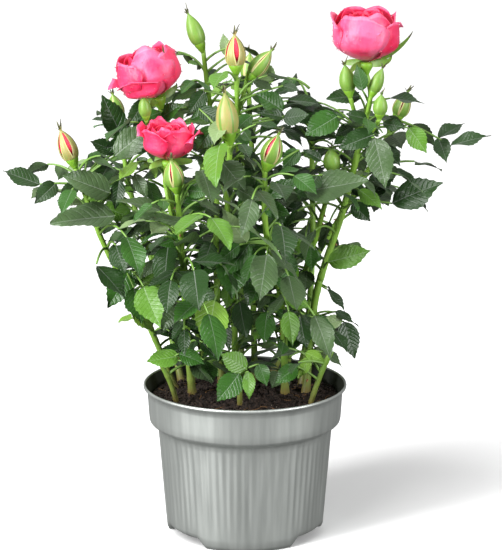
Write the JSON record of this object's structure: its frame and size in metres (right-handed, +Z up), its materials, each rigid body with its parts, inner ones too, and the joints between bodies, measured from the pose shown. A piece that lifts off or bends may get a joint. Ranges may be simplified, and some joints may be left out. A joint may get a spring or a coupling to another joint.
{
  "type": "potted rose bush",
  "caption": "Small leafy rose bush with pink double blooms and buds, growing in a round grey plastic nursery pot.",
  "frame": {"origin": "centre of the pot's flat underside, on the pot's axis", "axes": "+Z up along the pot's axis, +X to the right as seen in the picture, -Y towards the viewer of the picture"},
  "size_m": [0.2822, 0.2155, 0.313],
  "materials": {
    "pot_plastic": "silver-grey moulded plastic, satin",
    "compost": "dark moist peat crumbs",
    "green_stem": "smooth green stem bark, satin",
    "petal": "velvety petal",
    "leaf": "dark green leaf with a soft sheen"
  },
  "bodies": {
    "root": {"bloom_left": "petal", "bloom_low_left": "petal", "bloom_right": "petal", "cane_centre": "green_stem", "cane_centre_front": "green_stem", "cane_centre_left": "green_stem", "cane_front_left": "green_stem", "cane_front_right": "green_stem", "cane_left": "green_stem", "cane_left_back": "green_stem", "cane_rear": "green_stem", "cane_rear_left": "green_stem", "cane_rear_right": "green_stem", "cane_right": "green_stem", "cane_right_back": "green_stem", "cane_right_inner": "green_stem", "compost": "compost", "foliage_centre": "leaf", "foliage_centre_front": "leaf", "foliage_centre_left": "leaf", "foliage_front_left": "leaf", "foliage_front_right": "leaf", "foliage_left": "leaf", "foliage_left_back": "leaf", "foliage_low_front": "leaf", "foliage_low_left": "leaf", "foliage_low_rear": "leaf", "foliage_low_right": "leaf", "foliage_rear": "leaf", "foliage_rear_left": "leaf", "foliage_rear_right": "leaf", "foliage_right": "leaf", "foliage_right_back": "leaf", "foliage_right_inner": "leaf", "pot": "pot_plastic"}
  },
  "joints": []
}
